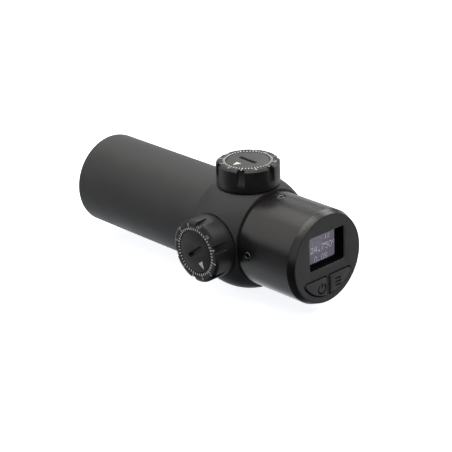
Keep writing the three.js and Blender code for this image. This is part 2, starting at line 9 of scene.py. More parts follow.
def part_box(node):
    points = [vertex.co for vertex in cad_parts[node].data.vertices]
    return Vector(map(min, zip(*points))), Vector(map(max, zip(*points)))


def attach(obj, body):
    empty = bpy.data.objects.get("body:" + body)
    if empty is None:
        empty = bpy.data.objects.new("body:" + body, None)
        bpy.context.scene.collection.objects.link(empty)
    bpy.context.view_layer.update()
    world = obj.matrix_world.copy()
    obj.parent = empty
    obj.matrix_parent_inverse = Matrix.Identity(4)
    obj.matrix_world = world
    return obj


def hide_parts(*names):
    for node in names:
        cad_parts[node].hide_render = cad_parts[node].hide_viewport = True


# The looks of a laser collimator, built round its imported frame. The object's lengths are in
# millimetres, which MM turns into Blender's metres; the lights and the camera are placed in
# metres. The tube's axis is Y, the beam leaves at +Y, the display looks towards -Y, and the
# turrets stand on +Z (elevation) and -X (windage).

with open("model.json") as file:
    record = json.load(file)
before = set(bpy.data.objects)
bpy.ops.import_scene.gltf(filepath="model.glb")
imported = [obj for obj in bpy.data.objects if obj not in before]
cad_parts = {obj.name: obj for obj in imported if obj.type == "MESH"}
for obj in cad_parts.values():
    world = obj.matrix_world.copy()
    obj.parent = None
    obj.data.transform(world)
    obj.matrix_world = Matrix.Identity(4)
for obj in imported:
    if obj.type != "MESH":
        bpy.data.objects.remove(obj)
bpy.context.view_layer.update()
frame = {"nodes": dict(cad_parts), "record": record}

MM = 0.001


def span(node, axis):
    """A CAD node's lowest and highest coordinate along an axis, in millimetres."""
    low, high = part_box(node)
    return low[axis] / MM, high[axis] / MM


# ---------------- sizes, from the frame

X, Y, Z = 0, 1, 2
SPIGOT_END, FRONT = span("main_tube", Y)
BALL_RADIUS = span("main_tube", X)[1]
REAR, CAP_FRONT = span("rear_cap", Y)
BARREL_RADIUS = span("rear_cap", X)[1]
PLATE_RADIUS = span("face_plate", X)[1]
PLATE_BACK = span("face_plate", Y)[1]
DIAL_BOTTOM, MARK_TOP = span("elevation_dial", Z)
MARK_HEIGHT = 0.03
DIAL_TOP = MARK_TOP - MARK_HEIGHT
DIAL_RADIUS = span("elevation_dial", Y)[1]
SCREW_TIP = span("elevation_adjuster", Z)[0]
DISC_RADIUS = span("elevation_adjuster", Y)[1]
BUTTON_FACE = span("power_button", Y)[0]
SET_SCREW_Y = sum(span("set_screw_top", Y)) / 2
SET_SCREW_RADIUS = span("set_screw_top", X)[1]
SET_SCREW_BOTTOM, SET_SCREW_TOP = span("set_screw_top", Z)
PIVOT_Y = sum(span("pivot_ring", Y)) / 2
FLOOR = span("main_tube", Z)[0]

# Sizes that the frame's boxes don't give.
BALL_END = CAP_FRONT + 0.3
BORE_RADIUS = 12.0
SPIGOT_RADIUS = 13.7
FRONT_BORE = 13.3
WINDOW_SEAT = 65.0
PIVOT_STOP = 63.0
PIVOT_STOP_RADIUS = 10.6
PIVOT_BORE = 9.3
FRONT_RING_BORE = 11.0
AIMING_TUBE_BORE = 7.6
LENS_RING_BORE = 2.8
LENS_RIM = 1.2
SEAL_GROOVE = (-13.0, -11.6)
SEAL_GROOVE_RADIUS = 12.7
SEAT_HEIGHT = 16.3
BUSHING_BORE = 5.95
CAP_BORE = 14.0
PLATE_SEAT_RADIUS = PLATE_RADIUS + 0.05
PLATE_SEAT_Y = PLATE_BACK + 0.1
BEVEL_RADIAL = 0.98
BEVEL_AXIAL = 2.4
SCREW_HOLE_RADIUS = 1.6
SET_SCREW_RISE = 0.15
SOCKET_RADIUS = 0.87
SOCKET_DEPTH = 1.3
DIAL_CHAMFER_Z = 24.0
DIAL_FACE_RADIUS = 9.65
DIAL_BORE = 7.3
DIAL_SKIRT = 9.0
DIAL_WEB = 22.9
NOTCHES = 6
NOTCH_WIDTH = 2.5
NOTCH_BOTTOM = 19.4
NOTCH_DEPTH = 1.25
NOTCH_PHASE = 30
DIVISIONS = 48
DIVISIONS_PER_NUMBER = 4
ELEVATION_DIAL_TURN = 3
ELEVATION_DISC_TURN = -3
WINDAGE_DIAL_TURN = 19
WINDAGE_DISC_TURN = 36
SLOT_LENGTH = 7.9
SLOT_WIDTH = 1.3
SLOT_DEPTH = 1.0
STEM_RADIUS = 1.5
STEM_TOP = 17.2
NECK_RADIUS = 2.6
OPENING_WIDTH = 15.7
OPENING_HEIGHT = 11.5
OPENING_Z = 3.3
OPENING_CORNER = 0.8
OPENING_EDGE = 0.35
BUTTON_TOP = -6.1
BUTTON_ARC = 12.4
BUTTON_INNER = 0.8
BUTTON_GAP = 0.4
BUTTON_SMALL_CORNER = 0.4
BUTTON_OUTER_CORNER = 0.7
BUTTON_FLANGE = 0.6
KEY_OPENING_EDGE = 0.25
KEY_SIDES = {"power": -1, "mode": 1}
OVERCUT = 1.0

FINE = 192
MEDIUM = 128
COARSE = 64


# ---------------- mesh helpers


def new_piece(name, points, faces):
    """A mesh object from points in millimetres."""
    mesh = bpy.data.meshes.new(name)
    mesh.from_pydata([Vector(p) * MM for p in points], [], faces)
    mesh.validate()
    piece = bpy.data.objects.new(name, mesh)
    bpy.context.scene.collection.objects.link(piece)
    return piece


def outward(piece):
    """Turns every face of a closed mesh outwards."""
    shape = bmesh.new()
    shape.from_mesh(piece.data)
    bmesh.ops.remove_doubles(shape, verts=shape.verts, dist=1e-7)
    bmesh.ops.recalc_face_normals(shape, faces=shape.faces)
    shape.to_mesh(piece.data)
    shape.free()
    return piece


def arc(centre, radius, start, end, steps):
    """Points on a circle in a plane, from one angle to another, in degrees."""
    points = []
    for i in range(steps + 1):
        angle = math.radians(start + (end - start) * i / steps)
        points.append((centre[0] + radius * math.cos(angle), centre[1] + radius * math.sin(angle)))
    return points


def full_circle(radius, segments):
    """Points round a whole circle about the origin, without a double at the end."""
    return arc((0, 0), radius, 0, 360 - 360 / segments, segments - 1)


def rectangle(half_a, half_b):
    """Corners of a plain rectangle about the origin."""
    return [(-half_a, -half_b), (half_a, -half_b), (half_a, half_b), (-half_a, half_b)]


def at_y(outline, y):
    """A flat outline in X and Z as 3D points."""
    return [(x, y, z) for x, z in outline]


def at_z(outline, z):
    """A flat outline in X and Y as 3D points."""
    return [(x, y, z) for x, y in outline]


def soften(corners, steps=4):
    """Rounds the corners of a closed outline. Each corner is (a, b) or (a, b, radius)."""
    points = []
    count = len(corners)
    for i, corner in enumerate(corners):
        here = Vector(corner[:2])
        if len(corner) < 3:
            points.append(tuple(here))
            continue
        before = Vector(corners[i - 1][:2]) - here
        after = Vector(corners[(i + 1) % count][:2]) - here
        half = before.angle(after) / 2
        reach = min(corner[2] / math.tan(half), before.length * 0.49, after.length * 0.49)
        radius = reach * math.tan(half)
        middle = here + (before.normalized() + after.normalized()).normalized() * (radius / math.sin(half))
        start = here + before.normalized() * reach - middle
        sweep = start.angle_signed(here + after.normalized() * reach - middle)
        for k in range(steps + 1):
            spoke = start.copy()
            spoke.rotate(Matrix.Rotation(-sweep * k / steps, 2))
            points.append(tuple(middle + spoke))
    return points


def ring_body(name, loops):
    """A ring-shaped body through closed loops of 3D points, the last one joined to the first."""
    rows = len(loops[0])
    points = [point for loop in loops for point in loop]
    faces = []
    for i in range(len(loops)):
        here = i * rows
        there = (i + 1) % len(loops) * rows
        for k in range(rows):
            after = (k + 1) % rows
            faces.append((here + k, here + after, there + after, there + k))
    return outward(new_piece(name, points, faces))


def lathe(name, profile, segments=MEDIUM):
    """A body turned about Y from a closed profile of (radius, y) points."""
    loops = []
    for i in range(segments):
        angle = 2 * math.pi * i / segments
        loops.append([(radius * math.cos(angle), y, radius * math.sin(angle)) for radius, y in profile])
    return ring_body(name, loops)


def loft(name, rings):
    """A closed body through rings of 3D points, all of one count, with flat ends."""
    count = len(rings[0])
    points = [p for ring in rings for p in ring]
    faces = [tuple(range(count))]
    for r in range(len(rings) - 1):
        for k in range(count):
            after = (k + 1) % count
            faces.append((r * count + k, r * count + after, (r + 1) * count + after, (r + 1) * count + k))
    faces.append(tuple(range((len(rings) - 1) * count, len(rings) * count)))
    return outward(new_piece(name, points, faces))


def turn(piece, axis, degrees):
    """Turns a piece's mesh about an axis through the origin."""
    piece.data.transform(Matrix.Rotation(math.radians(degrees), 4, axis))
    return piece


def move(piece, x, y, z):
    """Shifts a piece's mesh, in millimetres."""
    piece.data.transform(Matrix.Translation(Vector((x, y, z)) * MM))
    return piece


def to_side(piece):
    """Takes a piece from the elevation turret's place, on +Z, to the windage turret's, on -X."""
    return turn(piece, "Y", -90)


def to_screw(piece, quarter):
    """Takes a piece that stands on +Z to a set screw's place, some quarters round the tube."""
    return move(turn(piece, "Y", 90 * quarter), 0, SET_SCREW_Y, 0)


def carve(piece, cutters):
    """Cuts the cutters out of the piece and removes them."""
    for cutter in cutters:
        step = piece.modifiers.new("cut", "BOOLEAN")
        step.operation = "DIFFERENCE"
        step.solver = "EXACT"
        step.object = cutter
    bpy.context.view_layer.update()
    evaluated = piece.evaluated_get(bpy.context.evaluated_depsgraph_get())
    mesh = bpy.data.meshes.new_from_object(evaluated)
    piece.modifiers.clear()
    piece.data = mesh
    mesh.name = piece.name
    for cutter in cutters:
        bpy.data.objects.remove(cutter)
    return piece


def join(name, parts):
    """One mesh object from several."""
    points = []
    faces = []
    for part in parts:
        base = len(points)
        points += [v.co / MM for v in part.data.vertices]
        faces += [tuple(base + i for i in f.vertices) for f in part.data.polygons]
        bpy.data.objects.remove(part)
    return new_piece(name, points, faces)


def pin(radius, start, end, segments=COARSE):
    """A plain rod along Z, used as a cutter."""
    circle = full_circle(radius, segments)
    return loft("cutter", [at_z(circle, start), at_z(circle, end)])


def broken_edges(low, high, edge):
    """The (grow, height) steps of a body whose edges are broken at both ends."""
    return ((-edge, low), (0, low + edge), (0, high - edge), (-edge, high))


def flared(start, mouth, flare):
    """The (grow, z) steps of a cutter along Z that widens by flare at its mouth and above it."""
    return ((0, start), (0, mouth - flare), (flare, mouth), (flare + OVERCUT, mouth + OVERCUT))


SHARP_ANGLE = math.radians(32)


def place(piece, body, slot, *replaced, finish=None):
    """Gives a piece its finish, the slot's unless named, and lets it ride on its body."""
    piece.data.materials.clear()
    piece.data.materials.append(finish or SLOT_FINISHES[slot])
    piece.data.shade_smooth()
    piece.data.set_sharp_from_angle(angle=SHARP_ANGLE)
    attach(piece, body)
    if replaced:
        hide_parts(*replaced)
    return piece


# ---------------- materials


class NodeTree:
    """Short calls for the nodes that the finishes and the surroundings share."""

    def __init__(self, tree):
        self.nodes = tree.nodes
        self.links = tree.links

    def set(self, node, **inputs):
        """Sets a node's inputs, each to a value or to another node's output."""
        for name, value in inputs.items():
            socket = node.inputs[name.replace("_", " ")]
            if isinstance(value, bpy.types.NodeSocket):
                self.links.new(value, socket)
            else:
                socket.default_value = value
        return node

    def add(self, kind, **inputs):
        """A new node of a kind, with its inputs set."""
        return self.set(self.nodes.new(f"ShaderNode{kind}"), **inputs)

    def ramp(self, factor, stops):
        """A colour ramp; stops are (position, (r, g, b))."""
        ramp = self.add("ValToRGB", Fac=factor)
        elements = ramp.color_ramp.elements
        while len(elements) < len(stops):
            elements.new(0.5)
        for element, (position, colour) in zip(elements, stops):
            element.position = position
            element.color = (*colour, 1)
        return ramp.outputs["Color"]

    def math(self, operation, first, second):
        """A math node's result; each operand is a number or another node's output."""
        node = self.add("Math")
        node.operation = operation
        for socket, value in zip(node.inputs, (first, second)):
            if isinstance(value, (int, float)):
                socket.default_value = value
            else:
                self.links.new(value, socket)
        return node.outputs["Value"]

    def blend(self, first, second, share):
        """A share of the first value plus the rest of the second."""
        rest = self.math("MULTIPLY", second, 1 - share)
        return self.math("ADD", self.math("MULTIPLY", first, share), rest)


class Material(NodeTree):
    """A Principled material; its sockets are named with underscores for spaces."""

    def __init__(self, name, roughness, metallic=0.0, **sockets):
        self.data = bpy.data.materials.new(name)
        self.data.use_nodes = True
        super().__init__(self.data.node_tree)
        self.shader = self.nodes["Principled BSDF"]
        self.set(self.shader, Roughness=roughness, Metallic=metallic, **sockets)
        self.coordinates = self.add("TexCoord").outputs["Object"]

    def noise(self, scale, detail=3.0, stretch=(1, 1, 1)):
        """Noise with scale features per metre, squeezed along the axes by stretch."""
        mapping = self.add("Mapping", Scale=stretch, Vector=self.coordinates)
        noise = self.add("TexNoise", Scale=scale, Detail=detail, Vector=mapping.outputs["Vector"])
        return noise.outputs["Fac"]

    def colour(self, source):
        self.set(self.shader, Base_Color=source)

    def glow(self, source):
        self.set(self.shader, Emission_Color=source)

    def roughness(self, factor, low, high):
        """Roughness that runs from low to high as factor goes from 0.3 to 0.7."""
        node = self.add("MapRange", From_Min=0.3, From_Max=0.7, To_Min=low, To_Max=high, Value=factor)
        self.set(self.shader, Roughness=node.outputs["Result"])

    def bump(self, height, strength, distance):
        """A bump whose full height is distance millimetres."""
        node = self.add("Bump", Strength=strength, Distance=distance * MM, Height=height)
        self.set(self.shader, Normal=node.outputs["Normal"])

    def radius_about(self, *axes):
        """Distance from an axis, worked out from the two coordinates across it."""
        split = self.add("SeparateXYZ", Vector=self.coordinates)
        squares = [self.math("MULTIPLY", split.outputs[a], split.outputs[a]) for a in axes]
        return self.math("SQRT", self.math("ADD", *squares), 0)


def tint(colour, factor):
    """The colour, darker or lighter by a factor."""
    return tuple(c * factor for c in colour)


def blasted_anodise():
    """Fine bead-blasted black anodise: a soft broad sheen with a just visible grain."""
    m = Material("blasted_anodise", 0.56, Specular_IOR_Level=0.45)
    base = (0.050, 0.050, 0.0505)
    mottle = m.noise(90, 4)
    grain = m.noise(4200, 2)
    m.colour(m.ramp(m.blend(mottle, grain, 0.6), [(0.3, tint(base, 0.8)), (0.7, tint(base, 1.25))]))
    m.roughness(mottle, 0.53, 0.61)
    m.bump(grain, 0.5, 0.012)
    return m.data


def turned_anodise():
    """Black anodise over fine turning lines that run round the cap."""
    m = Material("turned_anodise", 0.34, Specular_IOR_Level=0.7)
    base = (0.010, 0.0092, 0.0088)
    lines = m.noise(5200, stretch=(0.02, 1, 0.02))
    bands = m.noise(900, 2, stretch=(0.02, 1, 0.02))
    m.colour(m.ramp(m.blend(lines, bands, 0.7), [(0.32, tint(base, 0.8)), (0.68, tint(base, 1.25))]))
    m.roughness(lines, 0.26, 0.34)
    m.bump(lines, 0.4, 0.006)
    return m.data


def matte_anodise(name, base, roughness, specular=0.4):
    """Flat black anodise for the face plate and small rings."""
    m = Material(name, roughness, Specular_IOR_Level=specular)
    grain = m.noise(3500, 2)
    mottle = m.noise(160)
    m.colour(m.ramp(mottle, [(0.3, tint(base, 0.85)), (0.7, tint(base, 1.2))]))
    m.roughness(mottle, roughness - 0.05, roughness + 0.06)
    m.bump(grain, 0.4, 0.01)
    return m.data


def turned_face(name, base, axes):
    """Anodise with concentric tool marks about the axis that lies across the two given axes."""
    m = Material(name, 0.4, Specular_IOR_Level=0.5)
    combine = m.add("CombineXYZ", X=m.math("MULTIPLY", m.radius_about(*axes), 1100))
    rings = m.add("TexWave", Scale=1.0, Distortion=0.0, Vector=combine.outputs["Vector"])
    mottle = m.noise(250)
    mixed = m.blend(rings.outputs["Fac"], mottle, 0.35)
    m.colour(m.ramp(mixed, [(0.25, tint(base, 0.8)), (0.75, tint(base, 1.3))]))
    m.roughness(mottle, 0.36, 0.48)
    m.bump(rings.outputs["Fac"], 0.5, 0.006)
    return m.data


def black_oxide():
    """Oiled black steel, worn paler in patches."""
    m = Material("black_oxide", 0.35, 0.8)
    patch = m.noise(1600)
    m.colour(m.ramp(patch, [(0.35, (0.17, 0.165, 0.16)), (0.7, (0.36, 0.35, 0.335))]))
    m.roughness(patch, 0.28, 0.45)
    m.bump(m.noise(6000, 2), 0.3, 0.005)
    return m.data


def moulded_plastic(name, base, roughness):
    """Fine-textured moulded plastic."""
    m = Material(name, roughness)
    mottle = m.noise(220)
    m.colour(m.ramp(mottle, [(0.3, tint(base, 0.85)), (0.7, tint(base, 1.2))]))
    m.roughness(mottle, roughness - 0.06, roughness + 0.06)
    m.bump(m.noise(5200, 2), 0.5, 0.012)
    return m.data


def mark_paint():
    """Warm white paint that fills the scale marks, a little uneven."""
    m = Material("mark_paint", 0.5)
    speck = m.noise(3000)
    m.colour(m.ramp(speck, [(0.3, (0.80, 0.76, 0.70)), (0.65, (0.95, 0.92, 0.86))]))
    m.roughness(speck, 0.4, 0.6)
    m.bump(speck, 0.3, 0.006)
    return m.data


def bright_metal(name, base, roughness, stretch=(0.05, 1, 0.05)):
    """Bare metal, with turning lines round Y unless it is stretched otherwise."""
    m = Material(name, roughness, 1.0)
    lines = m.noise(2600, stretch=stretch)
    m.colour(m.ramp(lines, [(0.3, tint(base, 0.75)), (0.7, base)]))
    m.roughness(lines, roughness - 0.08, roughness + 0.1)
    m.bump(lines, 0.4, 0.006)
    return m.data


def rubber():
    """Dull black rubber with a dusty bloom in patches."""
    m = Material("rubber", 0.8, Specular_IOR_Level=0.35)
    patch = m.noise(900)
    m.colour(m.ramp(patch, [(0.3, (0.010, 0.010, 0.010)), (0.7, (0.022, 0.022, 0.022))]))
    m.roughness(patch, 0.7, 0.88)
    m.bump(patch, 0.4, 0.02)
    return m.data


def circuit_board():
    """Green solder mask with paler copper tracks under it."""
    m = Material("solder_mask", 0.35, Coat_Weight=0.4)
    tracks = m.noise(420, 1)
    m.colour(m.ramp(tracks, [
        (0.46, (0.010, 0.075, 0.030)),
        (0.49, (0.030, 0.160, 0.060)),
        (0.53, (0.010, 0.075, 0.030)),
    ]))
    m.roughness(tracks, 0.28, 0.42)
    m.bump(tracks, 0.3, 0.02)
    return m.data


def clear_glass(name, tone, roughness, ior):
    """Thin clear pane with the faintest dust. A low IOR stands for an anti-reflection coat."""
    m = Material(name, roughness, Transmission_Weight=1.0, IOR=ior)
    dust = m.noise(1400, 4)
    m.colour(m.ramp(dust, [(0.3, tint(tone, 0.96)), (0.7, tone)]))
    m.roughness(dust, roughness, roughness + 0.03)
    return m.data


def display_face():
    """The display's own glass: dark, with a grey-violet glow that is painted light standing in for the
    sheen on it.
    """
    m = Material("display_face", 0.5, Specular_IOR_Level=0.1, Emission_Strength=1.0)
    panel_mottle = m.noise(70)
    m.colour(m.ramp(panel_mottle, [(0.3, (0.014, 0.013, 0.016)), (0.7, (0.020, 0.018, 0.022))]))
    # Painted light: the grey-violet glow stands in for the sheen on the panel, not the display's own light.
    m.glow(m.ramp(panel_mottle, [(0.3, (0.124, 0.108, 0.130)), (0.7, (0.140, 0.122, 0.148))]))
    m.roughness(panel_mottle, 0.45, 0.55)
    return m.data


def lit_pixels():
    """Pale blue light from the display's dots, a little uneven from dot to dot."""
    m = Material("lit_pixels", 0.4, Emission_Strength=0.5)
    flicker = m.noise(2500, 1)
    m.colour(m.ramp(flicker, [(0.3, (0.20, 0.24, 0.30)), (0.7, (0.30, 0.34, 0.40))]))
    m.glow(m.ramp(flicker, [(0.3, (0.42, 0.52, 0.66)), (0.7, (0.62, 0.72, 0.85))]))
    return m.data


SLOT_FINISHES = {
    "blasted_body": blasted_anodise(),
    "turned_cap": turned_anodise(),
    "face_plate": matte_anodise("plate_anodise", (0.082, 0.082, 0.084), 0.58),
    "dial": turned_face("elevation_dial_anodise", (0.019, 0.019, 0.0195), (X, Y)),
    # Painted light: the adjuster discs' anodise, made lighter here for the light on the elevation disc's
    # top.
    "dial_disc": turned_face("elevation_disc_anodise_painted_light", (0.056, 0.056, 0.0565), (X, Y)),
    "black_ring": matte_anodise("ring_anodise", (0.012, 0.012, 0.0125), 0.5),
    "black_steel": black_oxide(),
    "button": moulded_plastic("key_plastic", (0.062, 0.062, 0.063), 0.45),
    "black_plastic": moulded_plastic("black_plastic", (0.020, 0.020, 0.021), 0.48),
    "display_glass": clear_glass("display_window_glass", (0.93, 0.94, 0.97), 0.04, 1.15),
    "display_panel": display_face(),
    "coated_glass": clear_glass("coated_glass", (0.78, 0.74, 0.93), 0.02, 1.45),
    "circuit_board": circuit_board(),
    "rubber": rubber(),
    "brass": bright_metal("brass", (0.72, 0.5, 0.22), 0.3),
    "steel": bright_metal("steel", (0.58, 0.58, 0.6), 0.3, stretch=(1, 1, 1)),
    "red_wire": moulded_plastic("red_insulation", (0.42, 0.02, 0.016), 0.45),
    "black_wire": moulded_plastic("black_insulation", (0.016, 0.016, 0.016), 0.45),
}

# Finishes of pieces that don't look like the rest of their slot. The windage turret's two are copies of the
# elevation turret's anodise, painted lighter and darker for the light on that side.
# Painted light: the elevation dial's anodise, made lighter for the light that falls on the windage dial's
# side.
WINDAGE_DIAL_PAINTED_LIGHT_FINISH = turned_face("windage_dial_anodise_painted_light", (0.023, 0.023, 0.0235), (Y, Z))
# Painted shade: the adjuster discs' anodise, made darker for the windage disc's side.
WINDAGE_DISC_PAINTED_SHADE_FINISH = turned_face("windage_disc_anodise_painted_shade", (0.020, 0.020, 0.0205), (Y, Z))
BUSHING_FINISH = bright_metal("blackened_brass", (0.035, 0.030, 0.026), 0.5)
# Near-black finish for sheets that paint the shade in openings, screw sockets and symbol grooves.
PAINTED_SHADE_FINISH = matte_anodise("painted_shade_black", (0.002, 0.002, 0.002), 0.8, 0.1)
PAINT = mark_paint()
PIXELS = lit_pixels()

for part in frame["record"]["subparts"]:
    cad_mesh = frame["nodes"][part["node"]].data
    cad_mesh.materials.clear()
    bushing = part["node"].endswith("_bushing")
    cad_mesh.materials.append(BUSHING_FINISH if bushing else SLOT_FINISHES[part["material_slot"]])


# ---------------- tube and ball


def ball_outline():
    """The barrel's blend into the ball, and the ball down to the cap's seam."""
    fillet = 0.8
    centre_r = BARREL_RADIUS + fillet
    centre_y = math.sqrt((BALL_RADIUS + fillet) ** 2 - centre_r ** 2)
    towards_axis = math.degrees(math.atan2(-centre_y, -centre_r))
    blend = arc((centre_r, centre_y), fillet, -180, towards_axis, 5)
    first = math.degrees(math.atan2(centre_y, centre_r))
    last = math.degrees(math.asin(BALL_END / BALL_RADIUS))
    return blend + arc((0, 0), BALL_RADIUS, first, last, 44)[1:]


def build_tube():
    """The barrel, the ball with its two turret seats, and the spigot that the cap slides over."""
    outline = ball_outline()
    ball_edge = outline.pop()
    profile = soften([
        (FRONT_BORE, FRONT, 0.15),
        (BARREL_RADIUS, FRONT, 0.5),
        *outline,
        (*ball_edge, 0.15),
        (SPIGOT_RADIUS, BALL_END),
        (SPIGOT_RADIUS, SEAL_GROOVE[1]),
        (SEAL_GROOVE_RADIUS, SEAL_GROOVE[1]),
        (SEAL_GROOVE_RADIUS, SEAL_GROOVE[0]),
        (SPIGOT_RADIUS, SEAL_GROOVE[0]),
        (SPIGOT_RADIUS, SPIGOT_END, 0.3),
        (BORE_RADIUS, SPIGOT_END),
        (BORE_RADIUS, PIVOT_STOP),
        (PIVOT_STOP_RADIUS, PIVOT_STOP),
        (PIVOT_STOP_RADIUS, WINDOW_SEAT),
        (FRONT_BORE, WINDOW_SEAT),
    ])
    tube = lathe("barrel_and_ball", profile, FINE)
    reach = 2 * BALL_RADIUS
    square = rectangle(reach, reach)
    seat = [at_z(square, SEAT_HEIGHT), at_z(square, reach)]
    cutters = [loft("cutter", seat), to_side(loft("cutter", seat))]
    cutters.append(pin(BUSHING_BORE, BORE_RADIUS - OVERCUT, reach))
    cutters.append(to_side(pin(BUSHING_BORE, BORE_RADIUS - OVERCUT, reach)))
    for quarter in range(4):
        cutters.append(to_screw(pin(SCREW_HOLE_RADIUS, BORE_RADIUS - OVERCUT, reach, 32), quarter))
    return carve(tube, cutters)


place(build_tube(), "housing", "blasted_body", "main_tube")


# ---------------- front end


def ring_between(name, node, inner, edge, segments=MEDIUM):
    """A plain ring with broken edges that fills a CAD node's box from the given bore."""
    low, high = span(node, Y)
    outer = span(node, X)[1]
    return lathe(name, soften([
        (inner, low, edge),
        (outer, low, edge),
        (outer, high, edge),
        (inner, high, edge),
    ], 3), segments)


def disc_in(name, node, edge):
    """A solid disc with broken edges that fills a CAD node's box."""
    low, high = span(node, Y)
    outer = span(node, X)[1]
    rings = []
    for grow, y in broken_edges(low, high, edge):
        rings.append(at_y(full_circle(outer + grow, MEDIUM), y))
    return loft(name, rings)


def build_front_ring():
    """The threaded ring that holds the front window, with a slot across it for a spanner."""
    ring = ring_between("front_ring", "front_retaining_ring", FRONT_RING_BORE, 0.15)
    outer = span("front_retaining_ring", X)[1] + OVERCUT
    top = span("front_retaining_ring", Y)[1]
    half_width = 0.75
    depth = 0.8
    section = rectangle(outer, half_width)
    slot = loft("cutter", [at_y(section, top - depth), at_y(section, top + OVERCUT)])
    return carve(ring, [slot])


place(build_front_ring(), "housing", "black_ring", "front_retaining_ring")
place(disc_in("front_glass", "front_window", 0.2), "housing", "coated_glass", "front_window")
place(
    ring_between("aiming_tube_body", "aiming_tube", AIMING_TUBE_BORE, 0.25),
    "laser_assembly", "black_ring", "aiming_tube",
)
place(
    ring_between("lens_ring", "lens_retainer", LENS_RING_BORE, 0.15, COARSE),
    "laser_assembly", "brass", "lens_retainer",
)


def build_pivot():
    """The ring that the aiming tube tilts on, with a ball-shaped outside."""
    outer = span("pivot_ring", X)[1]
    low, high = span("pivot_ring", Y)
    limit = math.degrees(math.asin((high - low) / 2 / outer))
    band = [(r, PIVOT_Y + y) for r, y in arc((0, 0), outer, -limit, limit, 10)]
    return lathe("pivot_band", soften([(PIVOT_BORE, low, 0.2), *band, (PIVOT_BORE, high, 0.2)], 3))


def build_lens():
    """A lens that is flat at the rear and domed towards the beam."""
    rear, front = span("collimating_lens", Y)
    radius = span("collimating_lens", X)[1]
    rim = rear + LENS_RIM
    section = [(radius * 0.98, rear), (radius, rear + 0.08), (radius, rim)]
    steps = 10
    for i in range(1, steps):
        share = 1 - i / steps
        section.append((radius * share, rim + (front - rim) * (1 - share ** 2)))
    return loft("lens", [at_y(full_circle(r, COARSE), y) for r, y in section])


place(build_pivot(), "gimbal", "black_plastic", "pivot_ring")
place(build_lens(), "laser_assembly", "coated_glass", "collimating_lens")


# ---------------- cap, face plate, screws


def build_cap():
    """The turned shell behind the ball, with a bevelled rear edge and a seat for the face plate."""
    rows = 30
    wall_end = REAR + BEVEL_AXIAL
    wall = []
    for i in range(1, rows):
        wall.append((BARREL_RADIUS, CAP_FRONT + (wall_end - CAP_FRONT) * i / rows))
    profile = soften([
        (CAP_BORE, CAP_FRONT),
        (BARREL_RADIUS, CAP_FRONT, 0.2),
        *wall,
        (BARREL_RADIUS, wall_end, 0.4),
        (BARREL_RADIUS - BEVEL_RADIAL, REAR, 0.2),
        (PLATE_SEAT_RADIUS, REAR),
        (PLATE_SEAT_RADIUS, PLATE_SEAT_Y),
        (CAP_BORE, PLATE_SEAT_Y),
    ], 3)
    cap = lathe("cap_shell", profile, FINE)
    holes = []
    for quarter in range(4):
        rings = []
        for grow, z in flared(CAP_BORE - OVERCUT, BARREL_RADIUS, 0.12):
            rings.append(at_z(full_circle(SCREW_HOLE_RADIUS + grow, COARSE), z))
        holes.append(to_screw(loft("cutter", rings), quarter))
    return carve(cap, holes)


def rounded_rectangle(width, height, centre_z, radius, steps=6):
    """Corner points in X and Z, counter-clockwise from the lower right corner."""
    points = []
    half_w = width / 2 - radius
    half_h = height / 2 - radius
    for quarter, (a, b) in enumerate(((1, -1), (1, 1), (-1, 1), (-1, -1))):
        start = -90 + 90 * quarter
        points += arc((a * half_w, centre_z + b * half_h), radius, start, start + 90, steps)
    return points


def button_outline(side, grow):
    """A button's outline in X and Z: flat top, straight inner side, outer side along the rim."""
    top = BUTTON_TOP + grow
    inner = BUTTON_INNER - grow
    rim = BUTTON_ARC + grow
    small = BUTTON_SMALL_CORNER + grow / 2
    large = BUTTON_OUTER_CORNER + grow
    outer_x = math.sqrt((rim - large) ** 2 - (top - large) ** 2)
    outer_angle = math.degrees(math.atan2(top - large, outer_x))
    low_x = inner + small
    low_z = -math.sqrt((rim - small) ** 2 - low_x ** 2)
    low_angle = math.degrees(math.atan2(low_z, low_x))
    points = arc((inner + small, top - small), small, 180, 90, 5)
    points += arc((outer_x, top - large), large, 90, outer_angle, 10)[:-1]
    points += arc((0, 0), rim, outer_angle, low_angle, 14)[:-1]
    points += arc((low_x, low_z), small, low_angle, -180, 8)
    return [(side * x, z) for x, z in points]


def through(outline_at, mouth, flare):
    """A cutter along Y whose outline grows by flare, in a rounded edge, up to its mouth."""
    rings = [(0, PLATE_BACK + OVERCUT)]
    steps = 4
    for i in range(steps + 1):
        angle = math.pi / 2 * i / steps
        rings.append((flare * (1 - math.cos(angle)), mouth + flare * (1 - math.sin(angle))))
    rings.append((flare, mouth - OVERCUT))
    return loft("cutter", [at_y(outline_at(grow), y) for grow, y in rings])


def opening_outline(grow):
    """The display opening's outline in X and Z, widened all round by grow."""
    width = OPENING_WIDTH + 2 * grow
    height = OPENING_HEIGHT + 2 * grow
    return rounded_rectangle(width, height, OPENING_Z, OPENING_CORNER + grow)


def key_opening_outline(side):
    """The outline of a button's opening, as a function of how much it is widened."""
    return lambda grow: button_outline(side, BUTTON_GAP + grow)


def build_face_plate():
    """The disc at the rear, with an opening for the display and one for each button."""
    edge = 0.1
    rings = []
    for radius, y in ((PLATE_RADIUS, PLATE_BACK), (PLATE_RADIUS, REAR + edge), (PLATE_RADIUS - edge, REAR)):
        rings.append(at_y(full_circle(radius, FINE), y))
    openings = [through(opening_outline, REAR, OPENING_EDGE)]
    for side in KEY_SIDES.values():
        openings.append(through(key_opening_outline(side), REAR, KEY_OPENING_EDGE))
    return carve(loft("face_plate_disc", rings), openings)


